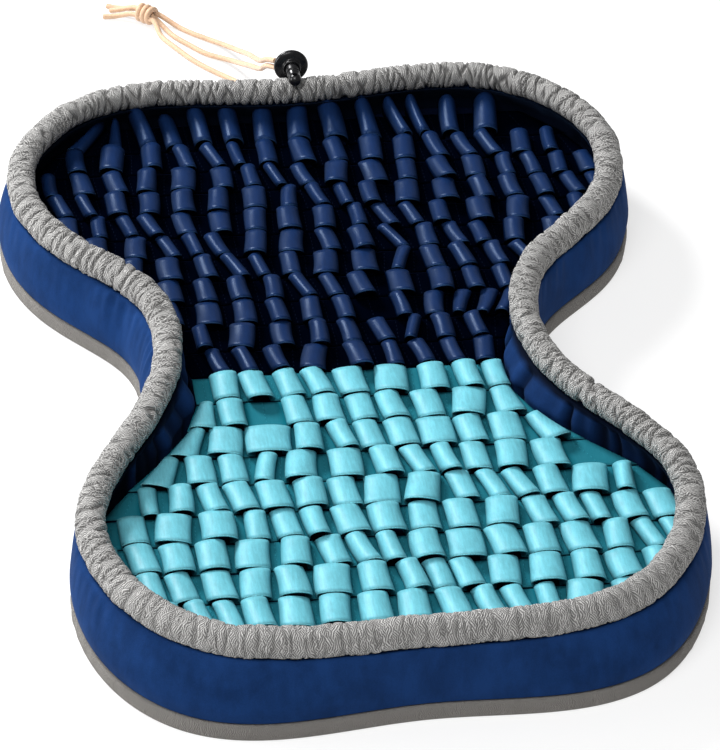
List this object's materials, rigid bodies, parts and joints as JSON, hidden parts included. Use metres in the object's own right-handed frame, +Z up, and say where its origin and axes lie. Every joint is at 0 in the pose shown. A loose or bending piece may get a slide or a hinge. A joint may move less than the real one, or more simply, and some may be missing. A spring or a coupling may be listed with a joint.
{
  "type": "snuffle_mat",
  "caption": "Bone-shaped snuffle mat: padded floor and wall, gathered casing with a drawcord and lock, and rows of looped felt strips that hide dry food from a dog",
  "frame": {"origin": "middle of the underside, on the floor", "axes": "+Z up, +Y towards the back lobe, where the drawcord and its lock are, +X to the right seen from the front"},
  "size_m": [0.364, 0.7154, 0.0731],
  "materials": {
    "base_cloth": "matte",
    "floor_cloth": "matte",
    "wall_cloth": "matte",
    "casing_knit": "matte",
    "navy_felt": "matte",
    "teal_felt": "matte",
    "cord": "matte",
    "lock_plastic": "gloss"
  },
  "bodies": {
    "root": {"base": "base_cloth", "floor_pad": "floor_cloth", "wall": "wall_cloth", "rim_casing": "casing_knit", "strip_navy_01": "navy_felt", "strip_navy_02": "navy_felt", "strip_navy_03": "navy_felt", "strip_navy_04": "navy_felt", "strip_navy_05": "navy_felt", "strip_navy_06": "navy_felt", "strip_navy_07": "navy_felt", "strip_navy_08": "navy_felt", "strip_navy_09": "navy_felt", "strip_navy_10": "navy_felt", "strip_navy_11": "navy_felt", "strip_teal_01": "teal_felt", "strip_teal_02": "teal_felt", "strip_teal_03": "teal_felt", "strip_teal_04": "teal_felt", "strip_teal_05": "teal_felt", "strip_teal_06": "teal_felt", "strip_teal_07": "teal_felt", "strip_teal_08": "teal_felt", "strip_teal_09": "teal_felt", "strip_teal_10": "teal_felt", "cord_strand_top": "cord", "cord_strand_middle": "cord", "cord_strand_low": "cord", "cord_knot": "cord", "cord_tail_back": "cord", "cord_tail_middle": "cord", "cord_tail_front": "cord", "lock_body": "lock_plastic"},
    "lock_plunger": {"lock_plunger": "lock_plastic"}
  },
  "joints": [
    {"name": "lock_press", "type": "slide", "parent": "root", "child": "lock_plunger", "axis": [-0.01, 0.996, -0.089], "range_m": [0, 0.004], "stiffness_N_per_m": 200}
  ]
}
